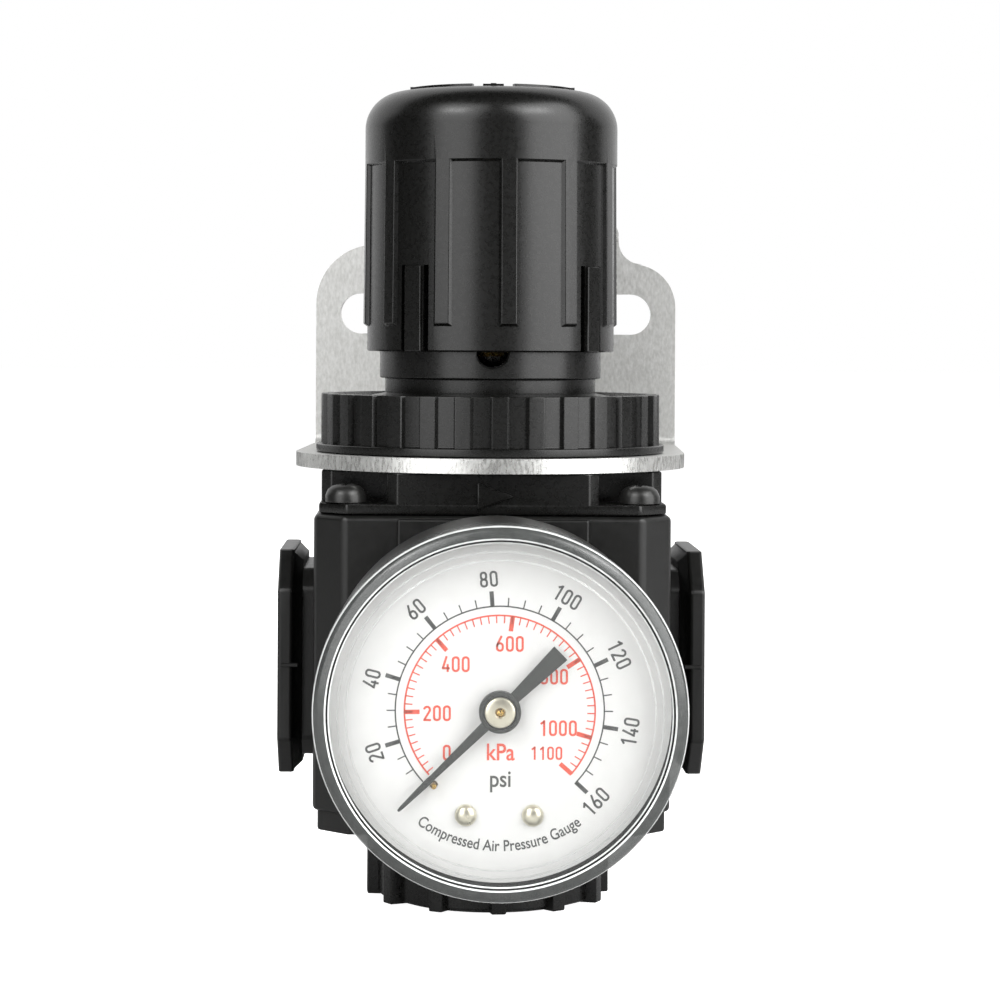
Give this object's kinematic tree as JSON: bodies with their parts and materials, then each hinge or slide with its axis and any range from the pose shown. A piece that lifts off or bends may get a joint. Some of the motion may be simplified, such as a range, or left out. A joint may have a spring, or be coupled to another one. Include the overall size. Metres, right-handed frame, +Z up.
{
  "type": "air pressure regulator",
  "caption": "Modular air pressure regulator with a ribbed adjusting knob, a round dial gauge on its front and an L-shaped mounting bracket held by a ribbed ring nut.",
  "frame": {"origin": "centre of the bottom cap's underside, on the main axis", "axes": "+Z up the main axis to the knob, -Y out through the gauge, +X from the inlet to the outlet"},
  "size_m": [0.053, 0.0952, 0.1036],
  "materials": {
    "black_casting": "black powder coat",
    "black_acetal": "moulded satin",
    "clear_lens": "clear moulded",
    "white_dial": "white enamel",
    "pointer_black": "matt paint",
    "zinc_plate": "zinc plated",
    "spring_steel": "drawn",
    "plated_steel": "plated",
    "black_steel": "black zinc",
    "brass": "turned",
    "bronze": "drawn",
    "nickel": "nickel plated",
    "black_rubber": "moulded"
  },
  "bodies": {
    "housing": {"body": "black_casting", "bonnet": "black_acetal", "bonnet_screw_1": "black_steel", "bonnet_screw_2": "black_steel", "bonnet_screw_3": "black_steel", "bonnet_screw_4": "black_steel", "bottom_cap": "black_acetal", "bottom_cap_seal": "black_rubber", "bourdon_tip": "brass", "bourdon_tube": "bronze", "bracket": "zinc_plate", "dial_plate": "white_dial", "dial_screw_left": "nickel", "dial_screw_right": "nickel", "diaphragm": "black_rubber", "gauge_case": "black_acetal", "gauge_lens": "clear_lens", "gauge_socket": "brass", "hairspring": "bronze", "movement_back_plate": "brass", "movement_front_plate": "brass", "movement_pillar_left": "brass", "movement_pillar_right": "brass", "movement_screw_1": "nickel", "movement_screw_2": "nickel", "panel_nut": "black_acetal", "range_spring": "spring_steel", "rear_plug_seal": "black_rubber", "rear_port_plug": "black_acetal", "thrust_washer": "brass", "valve_spring": "spring_steel", "zero_stop_pin": "brass"},
    "adjuster": {"adjusting_screw": "plated_steel", "screw_retaining_clip": "spring_steel"},
    "knob": {"knob": "black_acetal"},
    "spring_nut": {"spring_nut": "brass"},
    "diaphragm_stack": {"diaphragm_upper_plate": "plated_steel", "diaphragm_lower_plate": "brass"},
    "valve": {"valve_stem": "brass", "valve_disc": "black_rubber", "valve_stem_seal": "black_rubber"},
    "pointer": {"pointer": "pointer_black", "pointer_boss": "nickel", "pinion_arbor": "brass"},
    "sector": {"sector_gear": "brass", "sector_arbor": "nickel", "link_pin": "nickel"},
    "link": {"tip_link": "nickel"}
  },
  "joints": [
    {"name": "knob_turn", "type": "hinge", "parent": "housing", "child": "adjuster", "pos_m": [0, 0, 0.081], "axis": [0, 0, -1], "range_deg": [0, 1800]},
    {"name": "knob_lock", "type": "slide", "parent": "adjuster", "child": "knob", "axis": [0, 0, 1], "range_m": [-0.003, 0]},
    {"name": "nut_travel", "type": "slide", "parent": "housing", "child": "spring_nut", "axis": [0, 0, -1], "range_m": [0, 0.0076], "deforming": ["range_spring"]},
    {"name": "diaphragm_travel", "type": "slide", "parent": "housing", "child": "diaphragm_stack", "axis": [0, 0, -1], "range_m": [0, 0.0012], "stiffness_N_per_m": 900, "springref_m": -0.001, "deforming": ["diaphragm"]},
    {"name": "valve_travel", "type": "slide", "parent": "housing", "child": "valve", "axis": [0, 0, -1], "range_m": [0, 0.00125], "deforming": ["valve_spring"]},
    {"name": "pointer_turn", "type": "hinge", "parent": "housing", "child": "pointer", "pos_m": [0, -0.0573, 0.031], "axis": [0, 1, 0], "range_deg": [0, 267], "stiffness_Nm_per_rad": 0.0002, "springref_deg": -17.19},
    {"name": "sector_turn", "type": "hinge", "parent": "housing", "child": "sector", "pos_m": [0, -0.047, 0.022], "axis": [0, 1, 0], "range_deg": [-33.5, 0]},
    {"name": "link_turn", "type": "hinge", "parent": "sector", "child": "link", "pos_m": [-0.00121, -0.046, 0.01798], "axis": [0, 1, 0], "range_deg": [0, 33.5]}
  ],
  "couplings": [
    {"joint": "nut_travel", "follows": "knob_turn", "m_per_rad": 0.00023873},
    {"joint": "valve_travel", "follows": "diaphragm_travel", "ratio": 1},
    {"joint": "sector_turn", "follows": "pointer_turn", "ratio": -0.125},
    {"joint": "link_turn", "follows": "pointer_turn", "ratio": 0.125}
  ]
}
